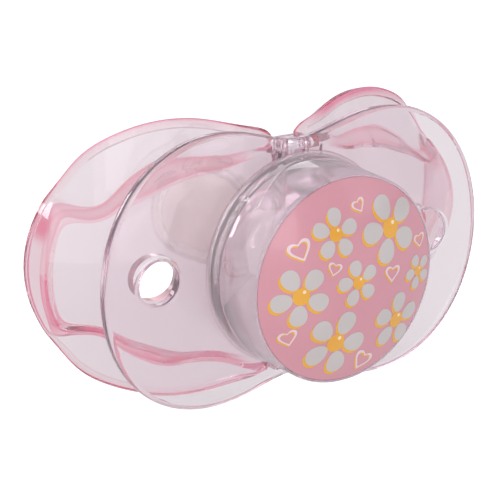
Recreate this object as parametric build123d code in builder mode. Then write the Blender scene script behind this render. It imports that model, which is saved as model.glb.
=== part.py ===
from build123d import *
import math
import os

os.makedirs("parts", exist_ok=True)

# ---------------------------------------------------------------------------
# Pacifier with two swinging covers.
# Millimetres. X across the face, Y from the front (-) to the mouth (+), Z up.
# The origin is on the axis of the knob, in the front face of the shield.
# ---------------------------------------------------------------------------

# front shield
SHIELD_THICK = 1.5
SHIELD_ROUND = 0.6
SHIELD_R0 = 22.23
SHIELD_R2 = 6.27
SHIELD_R4 = 1.08
VENT_X = 19.8
VENT_R = 2.7
VENT_ROUND = 0.4
OPENING_R = 8.6

# hub behind the shield, which holds the flange of the nipple
HUB_R = 9.5
HUB_BACK = 4.6
LIP_FRONT = 3.7
LIP_R = 6.9

# knob housing in front of the shield
KNOB_R = 12.9
KNOB_DEPTH = 9.5
KNOB_WALL = 1.3
KNOB_WEB = 1.2
KNOB_FOOT = 0.5
SPIGOT_R = 8.5
SPIGOT_WALL = 1.2
SPIGOT_END = 2.5

# domed disc in the mouth of the knob
DISC_R = 12.5
DISC_EDGE = 0.9
DISC_RISE = 2.4
DISC_SKIN = 1.2
DISC_SKIRT_R = 11.2
DISC_SKIRT_LEN = 1.4

# hinges: one vertical axis for each cover
HINGE_X = 1.25
HINGE_Y = 2.85
PIN_R = 0.5
PIN_CLEAR = 0.05
KNUCKLE_R = 1.1
KNUCKLE_LOW = 11.4
KNUCKLE_HIGH = 13.2
LUG_LOW = 9.2
LUG_TOP = 14.4
LUG_GAP = 0.2
PIN_LOW = 10.3
LUG_SWEEP = 2.05

# swinging covers
FLOOR_FRONT = 1.75
COVER_WALL = 1.2
FOLD_Y0 = 1.9
FOLD_SLOPE = 0.21
RIM_Y0 = 3.58
RIM_SLOPE = 0.35
INNER_X = 1.6
NOTCH_R = 10.0
COVER_VENT_X = 19.0
COVER_VENT_R = 2.9

# nipple
FLANGE_R = 8.4
NECK_R = 4.0
BULB_R = 6.3
BULB_Y = 22.0
SILICONE = 1.4


def shield_point(angle):
    radius = SHIELD_R0 - SHIELD_R2 * math.cos(2 * angle) - SHIELD_R4 * math.cos(4 * angle)
    return (radius * math.sin(angle), radius * math.cos(angle))


# ---------------------------------------------------------------------------
# Front shield: clear butterfly plate, hub ring and hinge lugs in one moulding
# ---------------------------------------------------------------------------
front_plane = Plane(origin=(0, 0, 0), x_dir=(1, 0, 0), z_dir=(0, 1, 0))
outline = [shield_point(2 * math.pi * i / 48) for i in range(48)]

with BuildPart() as front_shield:
    with BuildSketch(front_plane):
        with BuildLine():
            Spline(*outline, periodic=True)
        make_face()
    extrude(amount=SHIELD_THICK)
    fillet(front_shield.edges(), radius=SHIELD_ROUND)
    with BuildSketch(front_plane.offset(SHIELD_THICK)):
        Circle(HUB_R)
    extrude(amount=HUB_BACK - SHIELD_THICK)
    with BuildSketch(front_plane.offset(-1)):
        Circle(OPENING_R)
    extrude(amount=LIP_FRONT + 1, mode=Mode.SUBTRACT)
    with BuildSketch(front_plane.offset(-1)):
        Circle(LIP_R)
    extrude(amount=HUB_BACK + 2, mode=Mode.SUBTRACT)
    # lugs above and below the hub, two on each end, with rounded backs
    lug_spans = [(LUG_LOW, KNUCKLE_LOW - LUG_GAP), (KNUCKLE_HIGH + LUG_GAP, LUG_TOP)]
    for low, high in lug_spans:
        for start in (low, -high):
            with BuildSketch(Plane.XY.offset(start)):
                with Locations((0, (SHIELD_THICK + HINGE_Y) / 2 - 0.25)):
                    Rectangle(2 * (HINGE_X + KNUCKLE_R), HINGE_Y - SHIELD_THICK + 0.5)
                with Locations((-HINGE_X, HINGE_Y), (HINGE_X, HINGE_Y)):
                    Circle(KNUCKLE_R)
                with Locations((0, HINGE_Y)):
                    Rectangle(2 * HINGE_X, 2 * KNUCKLE_R)
            extrude(amount=high - low)
    # blind bores for the pins, open at the outer ends
    for start in (PIN_LOW, -LUG_TOP):
        with BuildSketch(Plane.XY.offset(start)):
            with Locations((-HINGE_X, HINGE_Y), (HINGE_X, HINGE_Y)):
                Circle(PIN_R)
        extrude(amount=LUG_TOP - PIN_LOW, mode=Mode.SUBTRACT)
    # the hub opening stays clear of the lugs
    with BuildSketch(front_plane.offset(SHIELD_THICK)):
        Circle(OPENING_R)
    extrude(amount=LIP_FRONT - SHIELD_THICK, mode=Mode.SUBTRACT)
    # vent holes, with softened edges
    with BuildSketch(front_plane.offset(-1)):
        with Locations((-VENT_X, 0), (VENT_X, 0)):
            Circle(VENT_R)
    extrude(amount=SHIELD_THICK + 2, mode=Mode.SUBTRACT)
    vent_edges = [
        edge
        for edge in front_shield.edges().filter_by(GeomType.CIRCLE)
        if abs(edge.radius - VENT_R) < 0.01 and abs(abs(edge.arc_center.X) - VENT_X) < 0.01
    ]
    fillet(vent_edges, radius=VENT_ROUND)
front_shield.part.label = "front_shield"
export_step(front_shield.part, "parts/front_shield.step")

# ---------------------------------------------------------------------------
# Knob housing: clear cup with a spigot that holds the nipple in the hub
# ---------------------------------------------------------------------------
# half sections are drawn with X as radius and Y as the depth axis
with BuildPart() as knob_housing:
    with BuildSketch(Plane.XY):
        with BuildLine():
            Polyline(
                (0, 0),
                (SPIGOT_R - SPIGOT_WALL, 0),
                (SPIGOT_R - SPIGOT_WALL, SPIGOT_END),
                (SPIGOT_R, SPIGOT_END),
                (SPIGOT_R, 0),
                (KNOB_R + KNOB_FOOT, 0),
            )
            CenterArc((KNOB_R + KNOB_FOOT, -KNOB_FOOT), KNOB_FOOT, 90, 90)
            Polyline(
                (KNOB_R, -KNOB_FOOT),
                (KNOB_R, -KNOB_DEPTH + 0.15),
                (KNOB_R - 0.15, -KNOB_DEPTH),
                (DISC_R + 0.05, -KNOB_DEPTH),
                (DISC_R + 0.05, -KNOB_DEPTH + DISC_EDGE),
                (KNOB_R - KNOB_WALL, -KNOB_DEPTH + DISC_EDGE),
                (KNOB_R - KNOB_WALL, -KNOB_WEB),
                (0, -KNOB_WEB),
                (0, 0),
            )
        make_face()
    revolve(axis=Axis.Y)
knob_housing.part.label = "knob_housing"
export_step(knob_housing.part, "parts/knob_housing.step")

# ---------------------------------------------------------------------------
# Domed disc that closes the knob
# ---------------------------------------------------------------------------
disc_edge_y = -KNOB_DEPTH
disc_back_y = -KNOB_DEPTH + DISC_EDGE
skirt_in = DISC_SKIRT_R - 1.0
dome_r = (DISC_R**2 + DISC_RISE**2) / (2 * DISC_RISE)
dome_y = disc_edge_y - DISC_RISE + dome_r
hollow_r = dome_r - DISC_SKIN
dome_angle = math.degrees(math.asin(DISC_R / dome_r))
hollow_angle = math.degrees(math.asin(skirt_in / hollow_r))
hollow_y = dome_y - math.sqrt(hollow_r**2 - skirt_in**2)

with BuildPart() as decorative_disc:
    with BuildSketch(Plane.XY):
        with BuildLine():
            CenterArc((0, dome_y), dome_r, -90, dome_angle)
            Polyline(
                (DISC_R, disc_edge_y),
                (DISC_R, disc_back_y),
                (DISC_SKIRT_R, disc_back_y),
                (DISC_SKIRT_R, disc_back_y + DISC_SKIRT_LEN),
                (skirt_in, disc_back_y + DISC_SKIRT_LEN),
                (skirt_in, hollow_y),
            )
            CenterArc((0, dome_y), hollow_r, -90, hollow_angle)
            Line((0, dome_y - hollow_r), (0, dome_y - dome_r))
        make_face()
    revolve(axis=Axis.Y)
decorative_disc.part.label = "decorative_disc"
export_step(decorative_disc.part, "parts/decorative_disc.step")

# ---------------------------------------------------------------------------
# Nipple: hollow silicone bulb on a flange held between spigot and hub lip
# ---------------------------------------------------------------------------
inner_bulb_r = BULB_R - SILICONE
tip_y = BULB_Y + BULB_R

with BuildPart() as nipple:
    with BuildSketch(Plane.XY):
        with BuildLine():
            Polyline(
                (5.0, SPIGOT_END),
                (FLANGE_R, SPIGOT_END),
                (FLANGE_R, LIP_FRONT),
                (LIP_R - 0.2, LIP_FRONT),
                (LIP_R - 0.2, HUB_BACK),
            )
            Spline(
                (LIP_R - 0.2, HUB_BACK),
                (4.7, 8.2),
                (NECK_R, 12.0),
                (BULB_R, BULB_Y),
                tangents=[(0, 1), (0, 1)],
            )
            CenterArc((0, BULB_Y), BULB_R, 0, 90)
            Line((0, tip_y), (0, tip_y - SILICONE))
            CenterArc((0, BULB_Y), inner_bulb_r, 0, 90)
            Spline(
                (inner_bulb_r, BULB_Y),
                (NECK_R - SILICONE, 12.0),
                (3.4, 8.0),
                (5.0, 4.2),
                tangents=[(0, -1), (0.2, -1)],
            )
            Line((5.0, 4.2), (5.0, SPIGOT_END))
        make_face()
    revolve(axis=Axis.Y)
nipple.part.label = "nipple"
export_step(nipple.part, "parts/nipple.step")


# ---------------------------------------------------------------------------
# Swinging covers
# ---------------------------------------------------------------------------
# Every section lies in a plane that stands upright and leans back by its slope.
# A section runs from the hinge side along the top to a corner, round the outer
# end, and back along the bottom.
def lean(y0, slope):
    return Plane(origin=(0, y0, 0), x_dir=(1, slope, 0), z_dir=(-slope, 1, 0))


def section(y0, slope, top, end_x):
    stretch = math.sqrt(1 + slope * slope)
    upper = [(x * stretch, -z) for x, z in top]
    lower = [(x * stretch, z) for x, z in reversed(top)]
    with BuildSketch(lean(y0, slope)) as area:
        with BuildLine():
            Line(lower[-1], upper[0])
            Spline(*upper)
            ThreePointArc(upper[-1], (end_x * stretch, 0), lower[0])
            Spline(*lower)
        make_face()
    return area.sketch.faces()[0]


FLOOR_TOP = [(INNER_X, 12.9), (6.3, 12.4), (9.5, 11.2), (13.5, 10.7), (17.0, 9.2), (20.0, 6.6)]
BEND_TOP = [(INNER_X, 13.7), (6.2, 13.2), (9.0, 12.1), (13.5, 11.8), (19.0, 9.8), (25.4, 7.6)]
FOLD_TOP = [(INNER_X, 14.1), (6.0, 13.7), (9.0, 12.6), (13.5, 12.4), (20.4, 9.9), (27.6, 8.2)]
RIM_TOP = [(INNER_X, 15.2), (5.9, 16.2), (10.2, 17.15), (14.5, 17.25), (21.3, 15.0), (27.6, 8.2)]
BEND_Y0 = FLOOR_FRONT + 0.45 * (FOLD_Y0 - FLOOR_FRONT)
BEND_SLOPE = 0.45 * FOLD_SLOPE


def inset(top, drop, back):
    first = (top[0][0] - 1, top[0][1] - drop)
    middle = [(x, z - drop) for x, z in top[1:-1]]
    last = (top[-1][0] - back, top[-1][1] - drop)
    return [first] + middle + [last]


outer_faces = [
    section(FLOOR_FRONT, 0, FLOOR_TOP, 22.4),
    section(BEND_Y0, BEND_SLOPE, BEND_TOP, 27.3),
    section(FOLD_Y0, FOLD_SLOPE, FOLD_TOP, 29.6),
    section(RIM_Y0, RIM_SLOPE, RIM_TOP, 30.0),
]
inner_faces = [
    section(FLOOR_FRONT + COVER_WALL, 0, inset(FLOOR_TOP, 0.5, 0.2), 22.0),
    section(BEND_Y0 + COVER_WALL, BEND_SLOPE, inset(BEND_TOP, 0.9, 0.8), 26.3),
    section(FOLD_Y0 + COVER_WALL, FOLD_SLOPE, inset(FOLD_TOP, 1.1, 1.1), 28.3),
    section(RIM_Y0 + 0.6, RIM_SLOPE, inset(RIM_TOP, 1.25, 1.1), 28.7),
]

with BuildPart() as right_cover:
    add(Solid.make_loft([face.outer_wire() for face in outer_faces], ruled=True))
    add(
        Solid.make_loft([face.outer_wire() for face in inner_faces], ruled=True),
        mode=Mode.SUBTRACT,
    )
    # half-round notch that clears the hub
    with BuildSketch(front_plane):
        Circle(NOTCH_R)
    extrude(amount=8, mode=Mode.SUBTRACT)
    # vent hole in the floor
    with BuildSketch(front_plane):
        with Locations((COVER_VENT_X, 0)):
            Circle(COVER_VENT_R)
    extrude(amount=5, mode=Mode.SUBTRACT)
    # room for the lugs through the whole swing
    for low, high in lug_spans:
        for start in (low - LUG_GAP, -high - LUG_GAP):
            with BuildSketch(Plane.XY.offset(start)):
                with Locations((HINGE_X, HINGE_Y)):
                    Circle(LUG_SWEEP)
            extrude(amount=high - low + 2 * LUG_GAP, mode=Mode.SUBTRACT)
    # hinge knuckles at the top and bottom, joined to the floor by short webs
    for start in (KNUCKLE_LOW, -KNUCKLE_HIGH):
        with BuildSketch(Plane.XY.offset(start)):
            with Locations((HINGE_X, HINGE_Y)):
                Circle(KNUCKLE_R)
            with Locations((HINGE_X + 1.4, FLOOR_FRONT + COVER_WALL / 2)):
                Rectangle(2.8, COVER_WALL)
        extrude(amount=KNUCKLE_HIGH - KNUCKLE_LOW)
        with BuildSketch(Plane.XY.offset(start)):
            with Locations((HINGE_X, HINGE_Y)):
                Circle(PIN_R + PIN_CLEAR)
        extrude(amount=KNUCKLE_HIGH - KNUCKLE_LOW, mode=Mode.SUBTRACT)
right_cover.part.label = "right_cover"
export_step(right_cover.part, "parts/right_cover.step")

with BuildPart() as left_cover:
    add(mirror(right_cover.part, about=Plane.YZ))
left_cover.part.label = "left_cover"
export_step(left_cover.part, "parts/left_cover.step")

# ---------------------------------------------------------------------------
# Hinge pins, one for each knuckle
# ---------------------------------------------------------------------------
PIN_PLACES = {
    "hinge_pin_top_left": (-HINGE_X, PIN_LOW),
    "hinge_pin_top_right": (HINGE_X, PIN_LOW),
    "hinge_pin_bottom_left": (-HINGE_X, -LUG_TOP),
    "hinge_pin_bottom_right": (HINGE_X, -LUG_TOP),
}
for name, (x, start) in PIN_PLACES.items():
    with BuildPart() as hinge_pin:
        with BuildSketch(Plane.XY.offset(start)):
            with Locations((x, HINGE_Y)):
                Circle(PIN_R)
        extrude(amount=LUG_TOP - PIN_LOW)
        chamfer(hinge_pin.edges(), length=0.1)
    hinge_pin.part.label = name
    export_step(hinge_pin.part, f"parts/{name}.step")
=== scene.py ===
"""Pacifier with two swinging covers: materials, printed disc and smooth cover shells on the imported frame."""
import math

import bmesh
import bpy
from mathutils import Matrix, Vector
from mathutils.geometry import interpolate_bezier


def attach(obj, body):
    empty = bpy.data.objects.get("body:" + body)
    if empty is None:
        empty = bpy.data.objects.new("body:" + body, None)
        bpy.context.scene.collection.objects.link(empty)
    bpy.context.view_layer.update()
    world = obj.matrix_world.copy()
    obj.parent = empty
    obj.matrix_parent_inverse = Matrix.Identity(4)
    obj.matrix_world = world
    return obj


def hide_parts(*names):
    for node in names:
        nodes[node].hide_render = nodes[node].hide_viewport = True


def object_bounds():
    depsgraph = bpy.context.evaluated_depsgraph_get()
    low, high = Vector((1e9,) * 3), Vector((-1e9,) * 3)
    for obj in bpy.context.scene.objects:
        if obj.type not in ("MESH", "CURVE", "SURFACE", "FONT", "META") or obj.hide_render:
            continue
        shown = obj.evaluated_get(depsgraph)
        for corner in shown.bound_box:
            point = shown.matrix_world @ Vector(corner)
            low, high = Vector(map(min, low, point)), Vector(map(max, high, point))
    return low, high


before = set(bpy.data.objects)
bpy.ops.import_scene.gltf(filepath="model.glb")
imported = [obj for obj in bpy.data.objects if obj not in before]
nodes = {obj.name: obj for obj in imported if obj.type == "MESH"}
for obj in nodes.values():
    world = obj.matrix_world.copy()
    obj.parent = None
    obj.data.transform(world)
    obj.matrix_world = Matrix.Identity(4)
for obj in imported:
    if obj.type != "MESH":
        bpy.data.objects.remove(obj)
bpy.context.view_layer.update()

MM = 0.001

# ---------------------------------------------------------------------------
# Driving sizes, in millimetres. They repeat the design.
# ---------------------------------------------------------------------------
HINGE_X = 1.25
HINGE_Y = 2.85
KNUCKLE_R = 1.1
KNUCKLE_BORE_R = 0.55
KNUCKLE_LOW = 11.4
KNUCKLE_HIGH = 13.2
FLOOR_FRONT = 1.75
WALL = 1.2
RIM_Y0 = 3.58
RIM_SLOPE = 0.35
NOTCH_R = 10.0
VENT_X = 19.0
VENT_R = 2.9
COVER_IN_X = 3.35
DISC_R = 12.5
DISC_Y = -9.5
DISC_RISE = 2.4
DOME_R = (DISC_R**2 + DISC_RISE**2) / (2 * DISC_RISE)
# for looks only: the disc's soft edge, and gaps that keep two clear pieces from sharing one surface
DISC_SHOULDER = 0.7
WELD_DISTANCE = 0.001
KNOB_GAP = 0.015
NIPPLE_GAP = 0.02
PIN_GAP = 0.03


# ---------------------------------------------------------------------------
# Small helpers
# ---------------------------------------------------------------------------
MERGE_DISTANCE = 0.002
# sharpest turn, in degrees, that is still shaded smooth
SMOOTH_ANGLE = 35
SHELL_SMOOTH_ANGLE = 60
PRINT_SMOOTH_ANGLE = 40


def link_mesh(name, bm):
    """Turns a bmesh into an object of the scene."""
    mesh = bpy.data.meshes.new(name)
    bm.to_mesh(mesh)
    bm.free()
    obj = bpy.data.objects.new(name, mesh)
    bpy.context.scene.collection.objects.link(obj)
    return obj


def new_object(name, bm, smooth_angle=SMOOTH_ANGLE, merge=True):
    """Turns a bmesh in millimetres into a smooth-shaded object in metres."""
    if merge:
        bmesh.ops.remove_doubles(bm, verts=bm.verts, dist=MERGE_DISTANCE)
    bmesh.ops.recalc_face_normals(bm, faces=bm.faces)
    bmesh.ops.scale(bm, vec=(MM, MM, MM), verts=bm.verts)
    obj = link_mesh(name, bm)
    shade_smooth(obj, smooth_angle)
    return obj


def shade_smooth(obj, angle):
    """Smooth shading, with a crease where two faces meet at more than the angle, in degrees."""
    bpy.context.view_layer.objects.active = obj
    for other in bpy.context.selected_objects:
        other.select_set(False)
    obj.select_set(True)
    bpy.ops.object.shade_smooth_by_angle(angle=math.radians(angle))
    obj.select_set(False)


def strip(bm, first, second, closed=False):
    """Quads between two rows of vertices."""
    count = len(first)
    last = count if closed else count - 1
    for i in range(last):
        j = (i + 1) % count
        bm.faces.new((first[i], first[j], second[j], second[i]))


SPAN_POINTS = 12


def spline_points(points):
    """Smooth curve through the given points, by Catmull-Rom spans."""
    pts = [Vector(p) for p in points]
    pts = [pts[0] * 2 - pts[1]] + pts + [pts[-1] * 2 - pts[-2]]
    out = []
    for i in range(1, len(pts) - 2):
        handle_a = pts[i] + (pts[i + 1] - pts[i - 1]) / 6
        handle_b = pts[i + 1] - (pts[i + 2] - pts[i]) / 6
        span = interpolate_bezier(pts[i], handle_a, handle_b, pts[i + 1], SPAN_POINTS + 1)
        out += span[:-1]
    out.append(pts[-2])
    return out


# ---------------------------------------------------------------------------
# Materials
# ---------------------------------------------------------------------------
def node_material(name):
    """A new material, its node tree and its shader."""
    mat = bpy.data.materials.new(name)
    mat.use_nodes = True
    tree = mat.node_tree
    return mat, tree, tree.nodes["Principled BSDF"]


def add_noise(tree, scale, detail=3.0):
    """Noise in object space. The scale is in waves per metre."""
    coords = tree.nodes.new("ShaderNodeTexCoord")
    noise = tree.nodes.new("ShaderNodeTexNoise")
    noise.inputs["Scale"].default_value = scale
    noise.inputs["Detail"].default_value = detail
    tree.links.new(coords.outputs["Object"], noise.inputs["Vector"])
    return noise.outputs["Fac"]


def add_range(tree, source, low, high, start=0.0, end=1.0):
    """Maps source, from start to end, on to low to high."""
    span = tree.nodes.new("ShaderNodeMapRange")
    span.inputs["From Min"].default_value = start
    span.inputs["From Max"].default_value = end
    span.inputs["To Min"].default_value = low
    span.inputs["To Max"].default_value = high
    tree.links.new(source, span.inputs["Value"])
    return span.outputs["Result"]


def add_ramp(tree, source, first, last):
    """Blends from the first colour to the last."""
    ramp = tree.nodes.new("ShaderNodeValToRGB")
    ramp.color_ramp.elements[0].color = first
    ramp.color_ramp.elements[1].color = last
    tree.links.new(source, ramp.inputs["Fac"])
    return ramp.outputs["Color"]


def add_bump(tree, shader, source, strength, distance):
    """Fine relief on the shader's surface."""
    bump = tree.nodes.new("ShaderNodeBump")
    bump.inputs["Strength"].default_value = strength
    bump.inputs["Distance"].default_value = distance
    tree.links.new(source, bump.inputs["Height"])
    tree.links.new(bump.outputs["Normal"], shader.inputs["Normal"])


PLASTIC_IOR = 1.46
SILICONE_IOR = 1.12
SILICONE_CLARITY = 0.93
SILICONE_WARM = (0.97, 0.95, 0.92, 1)
SILICONE_PALE = (0.98, 0.965, 0.94, 1)
# lowest and highest roughness
POLISH = (0.0, 0.09)
SATIN = (0.12, 0.22)
# how far a surface looks forward or back, where it counts as a side wall and where as a face
SIDE_FACING = 0.3
FLAT_FACING = 0.8


def row_depths(tree):
    """Depth of colour, stored row by row on a cover, with its painted shade, glow and reflection."""
    stored = tree.nodes.new("ShaderNodeAttribute")
    stored.attribute_name = "depth"
    return stored.outputs["Fac"]


def side_walls(tree):
    """1 on walls that stand across the face, 0 where the surface looks forward or back."""
    shape = tree.nodes.new("ShaderNodeNewGeometry")
    facing = tree.nodes.new("ShaderNodeSeparateXYZ")
    size = tree.nodes.new("ShaderNodeMath")
    size.operation = "ABSOLUTE"
    tree.links.new(shape.outputs["Normal"], facing.inputs["Vector"])
    tree.links.new(facing.outputs["Y"], size.inputs[0])
    return add_range(tree, size.outputs["Value"], 1, 0, SIDE_FACING, FLAT_FACING)


def clear_moulding(name, depth_colour, density, clarity, coat, pale, deep=None, where=None):
    """Polished clear plastic with a faint haze. With where, it is deeper in colour in its thick edges, and in
    any painted shade, glow and reflection that where carries.
    """
    mat, tree, shader = node_material(name)
    shader.inputs["Base Color"].default_value = pale
    if where:
        tree.links.new(add_ramp(tree, where(tree), pale, deep), shader.inputs["Base Color"])
    shader.inputs["Transmission Weight"].default_value = clarity
    shader.inputs["IOR"].default_value = PLASTIC_IOR
    shader.inputs["Coat Weight"].default_value = coat
    shader.inputs["Coat Roughness"].default_value = 0.05
    haze = add_noise(tree, scale=130.0)
    tree.links.new(add_range(tree, haze, *POLISH), shader.inputs["Roughness"])
    waves = add_noise(tree, scale=75.0, detail=1.0)
    add_bump(tree, shader, waves, strength=0.12, distance=0.6 * MM)
    depth = tree.nodes.new("ShaderNodeVolumeAbsorption")
    depth.inputs["Color"].default_value = depth_colour
    depth.inputs["Density"].default_value = density
    output = tree.nodes["Material Output"]
    tree.links.new(depth.outputs["Volume"], output.inputs["Volume"])
    return mat


def silicone_material():
    """Soft, milky, nearly clear silicone with a fine grain."""
    mat, tree, shader = node_material("silicone")
    shader.inputs["Transmission Weight"].default_value = SILICONE_CLARITY
    shader.inputs["IOR"].default_value = SILICONE_IOR
    haze = add_noise(tree, scale=90.0)
    tree.links.new(add_ramp(tree, haze, SILICONE_WARM, SILICONE_PALE), shader.inputs["Base Color"])
    tree.links.new(add_range(tree, haze, *SATIN), shader.inputs["Roughness"])
    grain = add_noise(tree, scale=1500.0)
    add_bump(tree, shader, grain, strength=0.15, distance=0.05 * MM)
    return mat


def glossy_paint(name, dark, light):
    """Opaque glossy plastic or print, slightly uneven in shade and sheen."""
    mat, tree, shader = node_material(name)
    shade = add_noise(tree, scale=160.0)
    tree.links.new(add_ramp(tree, shade, dark, light), shader.inputs["Base Color"])
    tree.links.new(add_range(tree, shade, *SATIN), shader.inputs["Roughness"])
    shader.inputs["Coat Weight"].default_value = 0.6
    shader.inputs["Coat Roughness"].default_value = 0.06
    ripple = add_noise(tree, scale=600.0)
    add_bump(tree, shader, ripple, strength=0.08, distance=0.04 * MM)
    return mat


PALE_CLEAR = (0.99, 0.965, 0.98, 1)
EDGE_CLEAR = (1.0, 0.90, 0.95, 1)
PALE_KNOB = (1.0, 0.945, 0.97, 1)
PALE_TINT = (0.945, 0.90, 0.93, 1)
DEEP_TINT = (0.90, 0.12, 0.28, 1)
RIM_PINK = (0.97, 0.74, 0.81, 1)
RIM_RED = (0.92, 0.06, 0.18, 1)
LILAC = (0.95, 0.72, 0.85, 1)
ROSE = (1.0, 0.05, 0.32, 1)
# name, colour and density of the absorption, clarity, coat, then pale and deep colours and where each goes
clear = clear_moulding("clear_plastic", LILAC, 100.0, 0.96, 0.7, PALE_CLEAR, EDGE_CLEAR, side_walls)
frosted = clear_moulding("clear_plastic_knob", LILAC, 60.0, 0.84, 1.0, PALE_KNOB)
# the covers' colour follows the stored depth, which also holds painted shade, glow and reflection
tinted = clear_moulding("tinted_plastic", ROSE, 60.0, 0.92, 0.2, PALE_TINT, DEEP_TINT, row_depths)
tinted_rim = clear_moulding("tinted_plastic_rim", ROSE, 60.0, 0.5, 0.4, RIM_PINK, RIM_RED, row_depths)
silicone = silicone_material()
pink = glossy_paint("pink_plastic", (0.60, 0.265, 0.32, 1), (0.66, 0.305, 0.365, 1))
petal_paint = glossy_paint("petal_print", (0.50, 0.46, 0.45, 1), (0.60, 0.56, 0.55, 1))
heart_paint = glossy_paint("heart_print", (0.72, 0.55, 0.60, 1), (0.80, 0.64, 0.69, 1))
glint_paint = glossy_paint("glint_print", (0.86, 0.70, 0.42, 1), (0.92, 0.78, 0.52, 1))
amber_paint = glossy_paint("amber_print", (0.72, 0.34, 0.02, 1), (0.84, 0.44, 0.04, 1))
centre_paint = glossy_paint("centre_print", (0.70, 0.30, 0.02, 1), (0.86, 0.46, 0.05, 1))


def dress(obj, *mats):
    """Gives an object these materials, and no others."""
    obj.data.materials.clear()
    for mat in mats:
        obj.data.materials.append(mat)


def round_edges(obj, name, width, segments, angle):
    """Rounds the edges that are sharper than the angle, in degrees."""
    bevel = obj.modifiers.new(name, "BEVEL")
    bevel.width = width * MM
    bevel.segments = segments
    bevel.limit_method = "ANGLE"
    bevel.angle_limit = math.radians(angle)


def fit_gap(obj, gap):
    """A hair of clearance, so that two clear pieces never share one surface."""
    weld = obj.modifiers.new("weld", "WELD")
    weld.merge_threshold = WELD_DISTANCE * MM
    inset = obj.modifiers.new("fit_gap", "DISPLACE")
    inset.strength = -gap * MM
    inset.mid_level = 0


# ---------------------------------------------------------------------------
# CAD nodes that stay
# ---------------------------------------------------------------------------
dress(nodes["front_shield"], clear)
dress(nodes["knob_housing"], frosted)
dress(nodes["decorative_disc"], pink)
dress(nodes["nipple"], silicone)
round_edges(nodes["decorative_disc"], "shoulder", DISC_SHOULDER, segments=4, angle=50)
fit_gap(nodes["knob_housing"], KNOB_GAP)
fit_gap(nodes["nipple"], NIPPLE_GAP)
for node_name, pin in nodes.items():
    if node_name.startswith("hinge_pin"):
        dress(pin, clear)
        fit_gap(pin, PIN_GAP)


# ---------------------------------------------------------------------------
# Covers
# ---------------------------------------------------------------------------
# Each outline runs from the hinge along the top to the corner, then to the outer end, in x and z.
# edge: where the floor ends; fold: where the raised step turns into the leaf; rim: where the leaf ends
EDGE_TOP = [
    (3.35, 12.9), (5.0, 12.9), (6.4, 12.8), (7.8, 12.3), (9.2, 11.9), (11.5, 11.7), (14.0, 11.5),
    (16.3, 10.8), (18.9, 9.7), (20.9, 9.1), (22.2, 8.2), (23.6, 7.25), (25.2, 6.8), (26.7, 7.0),
    (27.55, 7.5),
]
EDGE_END = [(27.55, 7.5), (28.8, 5.3), (29.7, 3.0), (30.1, 0.0)]
FOLD_TOP = [
    (3.35, 14.3), (5.2, 14.1), (6.3, 13.8), (7.5, 13.2), (9.0, 12.95), (12.2, 13.0), (15.3, 13.0),
    (17.6, 12.0), (19.8, 10.7), (21.4, 9.4), (22.5, 8.5), (23.5, 8.0), (25.0, 7.9), (26.3, 8.2),
    (27.7, 8.6),
]
FOLD_END = [(27.7, 8.6), (29.1, 5.6), (30.0, 3.0), (30.35, 0.0)]
RIM_TOP = [
    (1.6, 14.5), (1.75, 15.0), (2.5, 15.5), (5.9, 16.3), (10.2, 17.3), (14.5, 17.4), (19.1, 16.3),
    (23.8, 13.7), (27.8, 8.4),
]
RIM_END = [(27.8, 8.4), (29.5, 4.2), (30.1, 0.0)]
# points along a row, rows in each surface, rounds of smoothing, and the step that measures a slope
ROW_TOP = 80
ROW_END = 24
FLOOR_ROWS = 20
STEP_ROWS = 3
LEAF_ROWS = 8
CORNER_ROUNDS = 12
NORMAL_ROUNDS = 40
BACK_ROUNDS = 30
RIM_PASSES = 5
SLOPE_STEP = 0.05
# long middle line of a cover, from which its walls lean outward
SPINE_FROM = 8.0
SPINE_TO = 24.0
# floor: bend away from the shield, and rounding across it, in 1/mm
BEND_FROM = 15
BEND = 0.0307
ROUNDING_NEAR = 0.018
ROUNDING_FAR = 0.034
# step: its height, the share lost at the outer end, the width of its coloured lines, and its rounding
FOLD_STEP = 1.5
FOLD_STEP_LOSS = 0.4
LINE_WIDTH = 0.18
EDGE_ROUND = 0.2
# rim: its wall, how far its back edge passes the rim's plane, and where its middle row lies
RIM_WALL = 0.8
RIM_SLACK = 0.08
RIM_SPLIT = 0.55
# lip along the rim: width, height, and width of its outer line
LIP_WIDTH = 1.2
LIP_RISE = 0.15
RIM_LINE = 0.4
# from where to where along x a shape or a colour fades in
ROUNDING_NEAR_SPAN = (4, 12)
ROUNDING_FAR_SPAN = (14, 28)
STEP_RISE_SPAN = (5, 10)
STEP_LOSS_SPAN = (22, 28)
STEP_TINT_SPAN = (5, 7)
# where the painted glow on the right cover's lip fades in, and fades back out
PAINTED_GLOW_SPANS = ((4, 7), (24, 16))
TIP_TINT_SPAN = (26, 28)
# where the painted reflection by the upper corner fades in
PAINTED_REFLECTION_SPAN = (25, 26.5)
# knuckles, the webs that carry them, and the tools that cut holes
WEB_IN_X = 2.0
WEB_OUT_X = 3.9
WEB_BACK_Y = 2.95
BORE_OVERRUN = 2
VENT_TOOL_Y = 4
VENT_TOOL_LENGTH = 12


def resample(points, count):
    """count + 1 points, evenly spaced along the polyline."""
    lengths = [0.0]
    for a, b in zip(points, points[1:]):
        lengths.append(lengths[-1] + (b - a).length)
    out = []
    k = 0
    for i in range(count + 1):
        target = lengths[-1] * i / count
        while k < len(points) - 2 and lengths[k + 1] < target:
            k += 1
        span = lengths[k + 1] - lengths[k]
        t = (target - lengths[k]) / span if span else 0
        out.append(points[k].lerp(points[k + 1], min(max(t, 0), 1)))
    return out


def fade(value, span):
    """0 before the span, 1 after it, straight between."""
    start, end = span
    return min(max((value - start) / (end - start), 0), 1)


def dome(x, z):
    """Depth of the floor: flat by the hinge, rounded back towards its edges, most at the outer corners."""
    rounding = ROUNDING_NEAR * fade(x, ROUNDING_NEAR_SPAN) + ROUNDING_FAR * fade(x, ROUNDING_FAR_SPAN)
    return FLOOR_FRONT + BEND * max(x - BEND_FROM, 0) ** 2 + rounding * z * z


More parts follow.
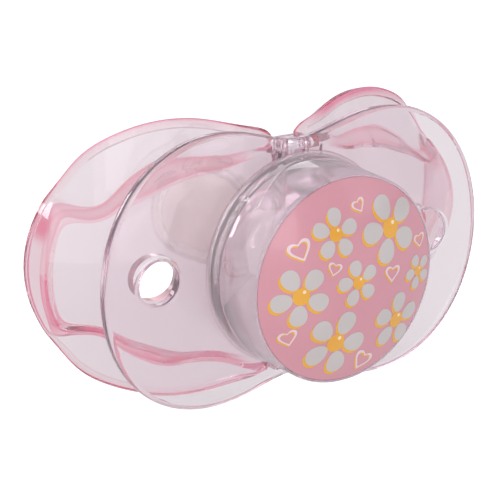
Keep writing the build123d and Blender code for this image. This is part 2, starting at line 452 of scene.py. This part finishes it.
def rim_plane(x, _z):
    """Depth of the rim's plane. Shut, it stands upright, 0.15 mm from the middle."""
    return RIM_Y0 + RIM_SLOPE * x


def fold_depth(x, z):
    """Depth of the fold: the floor's, and the height of the step, which is less at the outer end."""
    rise = fade(x, STEP_RISE_SPAN) * (1 - FOLD_STEP_LOSS * fade(x, STEP_LOSS_SPAN))
    return dome(x, z) + FOLD_STEP * rise


def soften(points, rounds):
    """Rounds the corners of an open row by averaging neighbours."""
    for _ in range(rounds):
        inner = [(a + 2 * b + c) / 4 for a, b, c in zip(points, points[1:], points[2:])]
        points = [points[0]] + inner + [points[-1]]
    return points


def cover_row(top, end, depth):
    """Outline from the hinge along the top, round the outer end and back below."""
    upper = resample(spline_points([(x, 0, z) for x, z in top]), ROW_TOP)
    around = [(x, 0, z) for x, z in end] + [(x, 0, -z) for x, z in reversed(end[:-1])]
    outer = resample(spline_points(around), 2 * ROW_END)
    lower = [Vector((p.x, 0, -p.z)) for p in reversed(upper)]
    flat = soften(upper + outer[1:-1] + lower, CORNER_ROUNDS)
    return [Vector((p.x, depth(p.x, p.z), p.z)) for p in flat]


def notch_row(count):
    """The half-round notch, with as many points as a row."""
    half = math.acos(COVER_IN_X / NOTCH_R)
    out = []
    for i in range(count):
        angle = half - 2 * half * i / (count - 1)
        x = NOTCH_R * math.cos(angle)
        z = NOTCH_R * math.sin(angle)
        out.append(Vector((x, dome(x, z), z)))
    return out


def add_row(bm, points):
    """A row of new vertices."""
    return [bm.verts.new(p) for p in points]


def outward(p):
    """Direction across the cover, away from its long middle line."""
    nearest_x = min(max(p.x, SPINE_FROM), SPINE_TO)
    return Vector((p.x - nearest_x, 0, p.z)).normalized()


def slope_normal(first, second):
    """Unit normal, towards the mouth side, of the strip between two rows."""
    step = second - first
    out = outward(first)
    return (Vector((0, 1, 0)) * step.dot(out) - out * step.y).normalized()


def strip_normals(first_row, second_row):
    """Smoothed normals along the strip between two rows."""
    normals = [slope_normal(a, b) for a, b in zip(first_row, second_row)]
    return [n.normalized() for n in soften(normals, NORMAL_ROUNDS)]


def floor_normal(p):
    """Unit normal of the floor, towards the mouth side."""
    run = (dome(p.x + SLOPE_STEP, p.z) - dome(p.x - SLOPE_STEP, p.z)) / (2 * SLOPE_STEP)
    rise = (dome(p.x, p.z + SLOPE_STEP) - dome(p.x, p.z - SLOPE_STEP)) / (2 * SLOPE_STEP)
    return Vector((-run, 1, -rise)).normalized()


def mitre(point, normal_a, normal_b):
    """The back face's corner, a wall's thickness from both front faces."""
    return point + WALL * (normal_a + normal_b) / (1 + normal_a.dot(normal_b))


def on_floor(p, back):
    """The point moved to the floor's front face, or its back face."""
    y = dome(p.x, p.z)
    if back:
        y += WALL / floor_normal(p).y
    return Vector((p.x, y, p.z))


def towards(row, other, distance):
    """The row moved by distance towards the other."""
    return [a + (b - a).normalized() * distance for a, b in zip(row, other)]


def face_rows(notch, edge, fold, rim, back):
    """Named rows of one face: floor, step and flared leaf."""
    near_edge = towards(edge, notch, LINE_WIDTH)
    rows = []
    for k in range(FLOOR_ROWS + 1):
        t = k / FLOOR_ROWS
        rows.append(("floor", [on_floor(a.lerp(b, t), back) for a, b in zip(notch, near_edge)]))
    edge = [on_floor(p, back) for p in edge]
    rows.append(("edge", edge))
    for k in range(1, STEP_ROWS):
        rows.append(("step", [a.lerp(b, k / STEP_ROWS) for a, b in zip(edge, fold)]))
    rows.append(("edge", fold))
    near_fold = towards(fold, rim, LINE_WIDTH)
    near_rim = towards(rim, fold, LINE_WIDTH)
    for k in range(LEAF_ROWS + 1):
        rows.append(("leaf", [a.lerp(b, k / LEAF_ROWS) for a, b in zip(near_fold, near_rim)]))
    rows.append(("back_rim" if back else "foot", rim))
    return rows


def rim_lip(fold, rim, normal):
    """Foot, shoulder, shelf and outer edge of the slightly thicker lip along the rim."""
    along = (fold - rim).normalized()
    lift = -LIP_RISE * normal
    foot = rim + along * LIP_WIDTH
    shoulder = rim + along * (LIP_WIDTH - LIP_RISE) + lift
    return foot, shoulder, rim + along * RIM_LINE + lift, rim + lift


# how deep the colour looks along each row, from 0 to 1
ROW_DEPTH = {
    "floor": 0.0, "edge": 0.55, "step": 0.3, "leaf": 0.0,
    "foot": 0.05, "shoulder": 0.12, "lip": 0.25, "rim": 0.95, "back_rim": 1.0,
}
# added to that: painted shade along the lower step only, and a deeper colour along the middle of the rim's
# narrow face
LOWER_STEP_PAINTED_SHADE = 0.35
MIDDLE_MORE = 0.15
# the leaf's tint at the outer end, and a painted reflection: deeper pink in a patch by the upper corner
TIP_TINT = 0.15
PAINTED_CORNER_REFLECTION = 0.75
PAINTED_REFLECTION_Z = 5.4
PAINTED_REFLECTION_REACH = (2.6, 0.6)
# painted glow: the deeper colour that the right cover's lip has more than the left one's
PAINTED_RIGHT_LIP_GLOW = {"shoulder": 0.25, "lip": 0.7}


def row_depth(name, p, side):
    """Depth of colour at a point of a row, with painted shade on the lower step, a painted glow on the right
    cover's lip and a painted reflection by the upper corner.
    """
    depth = ROW_DEPTH[name]
    if name in ("edge", "step"):
        # painted shade: the lower half of the edge and step rows is deeper in colour than the matching upper
        # half
        if p.z < 0:
            depth += LOWER_STEP_PAINTED_SHADE
        return depth * fade(p.x, STEP_TINT_SPAN)
    # painted glow: deeper colour on the right cover's shoulder and lip only
    if name in PAINTED_RIGHT_LIP_GLOW and side > 0:
        start, end = PAINTED_GLOW_SPANS
        return depth + PAINTED_RIGHT_LIP_GLOW[name] * fade(p.x, start) * fade(p.x, end)
    if name == "leaf":
        # painted reflection: a patch of deeper pink by the upper corner only
        corner = fade(p.x, PAINTED_REFLECTION_SPAN) * fade(abs(p.z - PAINTED_REFLECTION_Z), PAINTED_REFLECTION_REACH)
        return max(TIP_TINT * fade(p.x, TIP_TINT_SPAN), PAINTED_CORNER_REFLECTION * corner)
    return depth


def flush_rim(fold):
    """Rim's front edge and the leaf's normals. The wall's back edge lies just past the rim's plane."""
    rim = cover_row(RIM_TOP, RIM_END, rim_plane)
    for _ in range(RIM_PASSES):
        leaf = strip_normals(fold, rim)
        for p, n in zip(rim, leaf):
            p.y = rim_plane(p.x, p.z) - max(RIM_WALL * (n.y - RIM_SLOPE * n.x) - RIM_SLACK, 0)
    return rim, leaf


def cover_mesh(side):
    """Closed wall of one cover. side is 1 for right, -1 for left."""
    edge = cover_row(EDGE_TOP, EDGE_END, dome)
    fold = cover_row(FOLD_TOP, FOLD_END, fold_depth)
    rim, leaf = flush_rim(fold)
    notch = notch_row(len(edge))
    step = strip_normals(edge, fold)
    back_edge = soften([mitre(p, floor_normal(p), n) for p, n in zip(edge, step)], BACK_ROUNDS)
    back_fold = soften([mitre(p, a, b) for p, a, b in zip(fold, step, leaf)], BACK_ROUNDS)
    back_rim = [p + RIM_WALL * n for p, n in zip(rim, leaf)]
    foot, *lip = zip(*(rim_lip(a, b, n) for a, b, n in zip(fold, rim, leaf)))
    front_rows = face_rows(notch, edge, fold, foot, False) + list(zip(("shoulder", "lip", "rim"), lip))
    back_rows = face_rows(notch, back_edge, back_fold, back_rim, True)
    bm = bmesh.new()
    depth = bm.verts.layers.float.new("depth")
    faces = []
    for rows in (front_rows, back_rows):
        faces.append([])
        for row_name, row in rows:
            verts = add_row(bm, [Vector((side * p.x, p.y, p.z)) for p in row])
            for vert, p in zip(verts, row):
                vert[depth] = row_depth(row_name, p, side)
            faces[-1].append(verts)
    front, back = faces
    for rows in faces:
        for first, second in zip(rows, rows[1:]):
            strip(bm, first, second)
    strip(bm, front[0], back[0])
    before = len(bm.faces)
    # a middle row, so that the red deepens towards the back of the rim's narrow face
    middle = add_row(bm, [a.co.lerp(b.co, RIM_SPLIT) for a, b in zip(front[-1], back[-1])])
    for vert, a in zip(middle, front[-1]):
        vert[depth] = a[depth] + MIDDLE_MORE
    strip(bm, front[-1], middle)
    strip(bm, middle, back[-1])
    for end in (0, -1):
        # the front face has three more rows than the back, all on its lip
        strip(bm, [row[end] for row in front[:-3]], [row[end] for row in back])
        for first, second in zip(front[-4:-1], front[-3:-1]):
            bm.faces.new((first[end], second[end], back[-1][end]))
        bm.faces.new((front[-2][end], front[-1][end], middle[end], back[-1][end]))
    # the rim's narrow face and the two ends by the hinge have the rim's material
    for face in list(bm.faces)[before:]:
        face.material_index = 1
    return bm


def cylinder(name, centre, axis, radius, length, segments=64):
    """Round tool for cutting or joining."""
    bm = bmesh.new()
    bmesh.ops.create_cone(bm, cap_ends=True, segments=segments, radius1=radius, radius2=radius, depth=length)
    turn = Vector((0, 0, 1)).rotation_difference(Vector(axis)).to_matrix().to_4x4()
    bmesh.ops.transform(bm, matrix=Matrix.Translation(centre) @ turn, verts=bm.verts)
    return new_object(name, bm)


def slab(name, low, high):
    """Block between two corners."""
    low, high = Vector(low), Vector(high)
    bm = bmesh.new()
    bmesh.ops.create_cube(bm, size=1)
    bmesh.ops.scale(bm, vec=high - low, verts=bm.verts)
    bmesh.ops.translate(bm, vec=(high + low) / 2, verts=bm.verts)
    return new_object(name, bm)


def combine(obj, tool, operation):
    """Joins the tool to the object, or cuts it away, and removes the tool."""
    mod = obj.modifiers.new(operation, "BOOLEAN")
    mod.operation = operation
    mod.solver = "EXACT"
    mod.object = tool
    apply_all(obj)
    bpy.data.objects.remove(tool)


def apply_all(obj):
    """Makes the modifiers' result the object's own mesh."""
    bpy.context.view_layer.update()
    graph = bpy.context.evaluated_depsgraph_get()
    mesh = bpy.data.meshes.new_from_object(obj.evaluated_get(graph))
    obj.modifiers.clear()
    obj.data = mesh


def make_cover(name, side, node, body):
    """One cover shell with its vent, webs and knuckles. side is 1 for right, -1 for left."""
    obj = new_object(name, cover_mesh(side), SHELL_SMOOTH_ANGLE)
    dress(obj, tinted, tinted_rim)
    round_edges(obj, "rounding", EDGE_ROUND, segments=3, angle=75)
    apply_all(obj)
    vent_middle = (side * VENT_X, VENT_TOOL_Y, 0)
    vent = cylinder("vent_tool", vent_middle, (0, 1, 0), VENT_R, VENT_TOOL_LENGTH, segments=96)
    dress(vent, tinted, tinted_rim)
    for face in vent.data.polygons:
        face.material_index = 1
    combine(obj, vent, "DIFFERENCE")
    length = KNUCKLE_HIGH - KNUCKLE_LOW
    web_x = sorted((side * WEB_IN_X, side * WEB_OUT_X))
    for end in (1, -1):
        middle = end * (KNUCKLE_LOW + KNUCKLE_HIGH) / 2
        web_low = (web_x[0], FLOOR_FRONT, middle - length / 2)
        web_high = (web_x[1], WEB_BACK_Y, middle + length / 2)
        combine(obj, slab("web", web_low, web_high), "UNION")
        hinge = (side * HINGE_X, HINGE_Y, middle)
        combine(obj, cylinder("knuckle", hinge, (0, 0, 1), KNUCKLE_R, length), "UNION")
        combine(obj, cylinder("bore", hinge, (0, 0, 1), KNUCKLE_BORE_R, length + BORE_OVERRUN), "DIFFERENCE")
    shade_smooth(obj, SMOOTH_ANGLE)
    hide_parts(node)
    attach(obj, body)


make_cover("right_cover_shell", 1, "right_cover", "right_cover_body")
make_cover("left_cover_shell", -1, "left_cover", "left_cover_body")


# ---------------------------------------------------------------------------
# Print on the disc: plain daisies and hearts with a drop shadow
# ---------------------------------------------------------------------------
# x, z, radius, turn of the first petal in degrees
DAISIES = [
    (-2.7, 6.5, 3.2, 90),
    (5.4, 5.9, 4.4, 110),
    (-7.4, -0.4, 3.9, 122),
    (0.3, 0.2, 3.0, 104),
    (-2.2, -7.1, 4.3, 137),
    (7.0, -6.0, 3.7, 87),
    (10.3, -0.5, 2.3, 112),
]
# x, z, width, turn in degrees
HEARTS = [
    (-7.4, 5.1, 3.0, 20),
    (-3.1, 2.4, 1.9, -18),
    (0.9, 9.3, 1.9, 22),
    (5.6, 0.3, 2.4, -4),
    (-8.6, -5.6, 2.4, 16),
    (2.4, -10.4, 2.9, -28),
    (10.5, 3.3, 2.0, 6),
]
# how far a shadow lies from its shape; a daisy's grows with its radius
SHADOW_SHIFT = (-0.24, -0.26)
HEART_SHADOW = 0.6
DAISY_SHADOW = 0.7
DAISY_SHADOW_GROWTH = 0.1
# each layer's paint, and its height above the disc's face
PRINT_LAYERS = {
    "shadow_print": (amber_paint, 0.02),
    "petal_print": (petal_paint, 0.04),
    "centre_print": (centre_paint, 0.045),
    "heart_print": (heart_paint, 0.04),
    "glint_print": (glint_paint, 0.055),
}
PRINT_ROOT = -0.03
PETALS = 5
# points in each outline
PETAL_POINTS = 28
CENTRE_POINTS = 32
GLINT_POINTS = 16
HEART_POINTS = 48
# shares of a daisy's radius
PETAL_MIDDLE = 0.62
PETAL_HALF_LENGTH = 0.345
PETAL_HALF_WIDTH = 0.285
CENTRE_SIZE = 0.28
# how much wider a petal is towards its outer end
PETAL_EGG = 0.18
# shares of a daisy centre's radius
GLINT_PLACE = (0.35, 0.5)
GLINT_SIZE = 0.2
# a heart's inner line, as a share of its outer one; its width and lift, in the units of its formula
HEART_INSIDE = 0.74
HEART_WIDTH = 32
HEART_LIFT = 2.5


def on_dome(x, z, lift):
    """Point on the disc's face, raised by lift."""
    radius = DOME_R + lift
    centre = DISC_Y - DISC_RISE + DOME_R
    return Vector((x, centre - math.sqrt(radius**2 - x * x - z * z), z))


def patch(layers, name, outline, middle, rings=5):
    """Closed thin patch of paint that follows the dome, drawn as rings about its middle."""
    bm = layers[name]
    hub_x, hub_z = middle
    count = len(outline)
    ends = []
    for height in (PRINT_LAYERS[name][1], PRINT_ROOT):
        hub = bm.verts.new(on_dome(*middle, height))
        rows = []
        for k in range(1, rings + 1):
            t = k / rings
            ring = [(hub_x + (x - hub_x) * t, hub_z + (z - hub_z) * t) for x, z in outline]
            rows.append([bm.verts.new(on_dome(x, z, height)) for x, z in ring])
        for i in range(count):
            bm.faces.new((hub, rows[0][i], rows[0][(i + 1) % count]))
        for first, second in zip(rows, rows[1:]):
            strip(bm, first, second, closed=True)
        ends.append(rows[-1])
    strip(bm, ends[0], ends[1], closed=True)


def band(layers, name, inner, outer):
    """Closed thin line of paint between two loops."""
    bm = layers[name]
    lift = PRINT_LAYERS[name][1]
    loops = []
    for loop, height in ((inner, PRINT_ROOT), (inner, lift), (outer, lift), (outer, PRINT_ROOT)):
        loops.append([bm.verts.new(on_dome(x, z, height)) for x, z in loop])
    for first, second in zip(loops, loops[1:] + loops[:1]):
        strip(bm, first, second, closed=True)


def round_steps(count):
    """Evenly spaced angles round a circle."""
    return [2 * math.pi * i / count for i in range(count)]


def turned(x, z, angle, u, v):
    """The point u along and v across, in axes turned by the angle about x, z."""
    return x + u * math.cos(angle) - v * math.sin(angle), z + u * math.sin(angle) + v * math.cos(angle)


def petal_outline(x, z, radius, angle):
    """Egg-shaped petal, wider at its outer end, and its middle."""
    reach = PETAL_MIDDLE * radius
    out = []
    for a in round_steps(PETAL_POINTS):
        along = reach + PETAL_HALF_LENGTH * radius * math.cos(a)
        across = PETAL_HALF_WIDTH * radius * math.sin(a) * (1 + PETAL_EGG * math.cos(a))
        out.append(turned(x, z, angle, along, across))
    return out, turned(x, z, angle, reach, 0)


def circle_outline(x, z, radius, count):
    return [(x + radius * math.cos(a), z + radius * math.sin(a)) for a in round_steps(count)]


def heart_outline(x, z, width, angle):
    """Rounded heart, as a sum of sines and cosines."""
    scale = width / HEART_WIDTH
    out = []
    for t in round_steps(HEART_POINTS):
        u = 13.2 * math.sin(t) - 2.8 * math.sin(3 * t)
        v = 12.6 * math.cos(t) - 4.4 * math.cos(2 * t) - 1.2 * math.cos(3 * t) - 0.4 * math.cos(4 * t)
        out.append(turned(x, z, angle, u * scale, (v + HEART_LIFT) * scale))
    return out


def moved(outline, shift):
    return [(x + shift[0], z + shift[1]) for x, z in outline]


def add_daisy(layers, x, z, radius, turn):
    """Five petals with their shadows, a centre and a glint on it."""
    shift = [v * (DAISY_SHADOW + DAISY_SHADOW_GROWTH * radius) for v in SHADOW_SHIFT]
    for k in range(PETALS):
        petal, middle = petal_outline(x, z, radius, math.radians(turn + 360 / PETALS * k))
        patch(layers, "petal_print", petal, middle)
        patch(layers, "shadow_print", moved(petal, shift), moved([middle], shift)[0])
    centre = CENTRE_SIZE * radius
    patch(layers, "centre_print", circle_outline(x, z, centre, CENTRE_POINTS), (x, z))
    dot = (x + GLINT_PLACE[0] * centre, z + GLINT_PLACE[1] * centre)
    patch(layers, "glint_print", circle_outline(*dot, GLINT_SIZE * centre, GLINT_POINTS), dot, rings=2)


def add_heart(layers, x, z, width, turn):
    """Outline heart and its shadow."""
    shift = [HEART_SHADOW * v for v in SHADOW_SHIFT]
    outer = heart_outline(x, z, width, math.radians(turn))
    inner = heart_outline(x, z, HEART_INSIDE * width, math.radians(turn))
    band(layers, "heart_print", inner, outer)
    band(layers, "shadow_print", moved(inner, shift), moved(outer, shift))


def make_print():
    """One thin raised piece for each paint."""
    layers = {name: bmesh.new() for name in PRINT_LAYERS}
    for daisy in DAISIES:
        add_daisy(layers, *daisy)
    for heart in HEARTS:
        add_heart(layers, *heart)
    for name, bm in layers.items():
        obj = new_object(name, bm, PRINT_SMOOTH_ANGLE, merge=False)
        dress(obj, PRINT_LAYERS[name][0])
        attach(obj, "shield_body")


make_print()


# ---------------------------------------------------------------------------
# Floor, light and camera
# ---------------------------------------------------------------------------
FLOOR_HALF = 1.5
FLOOR_BASE = (0.1, 0.1, 0.1, 1)
FLOOR_WHITE = (1, 0.985, 0.995, 1)
# the floor shines a little, less on the object than to the camera
FLOOR_GLOW = 0.66
FLOOR_GLOW_SEEN = 1.1
WORLD_DARK = (0.62, 0.59, 0.62, 1)
WORLD_LIGHT = (0.96, 0.93, 0.96, 1)
WORLD_STRENGTH = 0.82
# where the lighter side of the surroundings lies
WORLD_SIDE = (-0.81, 0.45, 0.37)
# name, place in metres, width and height, power in watts
LIGHTS = [
    ("key", (-0.62, -0.3, 0.42), (1.5, 1.2), 4.0),
    ("fill", (0.6, -0.5, 0.35), (0.5, 0.6), 0.4),
    ("front", (-0.14, -0.85, 0.26), (0.55, 0.55), 1.3),
    ("rear", (0.1, 0.7, 0.5), (0.8, 0.4), 1.5),
    ("streak", (-0.55, 0.9, 0.5), (0.14, 0.7), 1.6),
]


def make_floor():
    """Pale floor at the object's lowest point."""
    low, _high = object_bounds()
    bm = bmesh.new()
    bmesh.ops.create_grid(bm, x_segments=8, y_segments=8, size=FLOOR_HALF)
    floor = link_mesh("floor", bm)
    floor.location = (0, 0, low.z)
    mat, tree, shader = node_material("pale_floor")
    shader.inputs["Base Color"].default_value = FLOOR_BASE
    shader.inputs["Roughness"].default_value = 0.8
    shader.inputs["Emission Color"].default_value = FLOOR_WHITE
    rays = tree.nodes.new("ShaderNodeLightPath")
    glow = add_range(tree, rays.outputs["Is Camera Ray"], FLOOR_GLOW, FLOOR_GLOW_SEEN)
    tree.links.new(glow, shader.inputs["Emission Strength"])
    dress(floor, mat)


def area_light(name, place, size, power):
    """Soft light that faces the object's middle."""
    data = bpy.data.lights.new(name, "AREA")
    data.shape = "RECTANGLE"
    data.size, data.size_y = size
    data.energy = power
    light = bpy.data.objects.new(name, data)
    light.location = place
    light.rotation_euler = (-Vector(place)).to_track_quat("-Z", "Y").to_euler()
    bpy.context.scene.collection.objects.link(light)


def make_world():
    """Pale surroundings, lighter on one side."""
    world = bpy.data.worlds.new("studio")
    world.use_nodes = True
    tree = world.node_tree
    back = tree.nodes["Background"]
    coords = tree.nodes.new("ShaderNodeTexCoord")
    side_to_side = tree.nodes.new("ShaderNodeVectorMath")
    side_to_side.operation = "DOT_PRODUCT"
    side_to_side.inputs[1].default_value = WORLD_SIDE
    tree.links.new(coords.outputs["Generated"], side_to_side.inputs[0])
    share = add_range(tree, side_to_side.outputs["Value"], 0, 1, start=-1)
    tree.links.new(add_ramp(tree, share, WORLD_DARK, WORLD_LIGHT), back.inputs["Color"])
    back.inputs["Strength"].default_value = WORLD_STRENGTH
    bpy.context.scene.world = world


# angles in degrees, distance in metres, lens in millimetres
CAMERA_AZIMUTH = -35.72
CAMERA_ELEVATION = 18.51
CAMERA_ROLL = 1.54
CAMERA_DISTANCE = 0.3507
CAMERA_LENS = 209.0
# how far the knob's axis sits right of and below the middle of the picture, as slopes
AIM_RIGHT = 0.01664
AIM_UP = 0.0025


def make_camera():
    """Camera at the photograph's viewing angle."""
    data = bpy.data.cameras.new("camera")
    data.lens = CAMERA_LENS
    data.clip_start = 0.01
    data.clip_end = 20
    cam = bpy.data.objects.new("camera", data)
    a, e, r = (math.radians(v) for v in (CAMERA_AZIMUTH, CAMERA_ELEVATION, CAMERA_ROLL))
    back = Vector((math.sin(a) * math.cos(e), -math.cos(a) * math.cos(e), math.sin(e)))
    right_dir = Vector((math.cos(a), math.sin(a), 0))
    up_dir = back.cross(right_dir)
    rolled_right = right_dir * math.cos(r) + up_dir * math.sin(r)
    rolled_up = up_dir * math.cos(r) - right_dir * math.sin(r)
    forward = (-back - rolled_right * AIM_RIGHT + rolled_up * AIM_UP).normalized()
    side = (rolled_right - forward * rolled_right.dot(forward)).normalized()
    turn = Matrix((side, side.cross(forward), -forward)).transposed()
    cam.matrix_world = Matrix.Translation(back * CAMERA_DISTANCE) @ turn.to_4x4()
    bpy.context.scene.collection.objects.link(cam)
    bpy.context.scene.camera = cam


make_floor()
make_world()
for light_row in LIGHTS:
    area_light(*light_row)
make_camera()
bpy.context.scene.view_settings.view_transform = "Standard"
# light crosses many clear walls, and goes dark where its bounces run out
cycles = bpy.context.scene.cycles
cycles.max_bounces = 48
cycles.transmission_bounces = 32
cycles.glossy_bounces = 32
cycles.diffuse_bounces = 8
cycles.transparent_max_bounces = 24
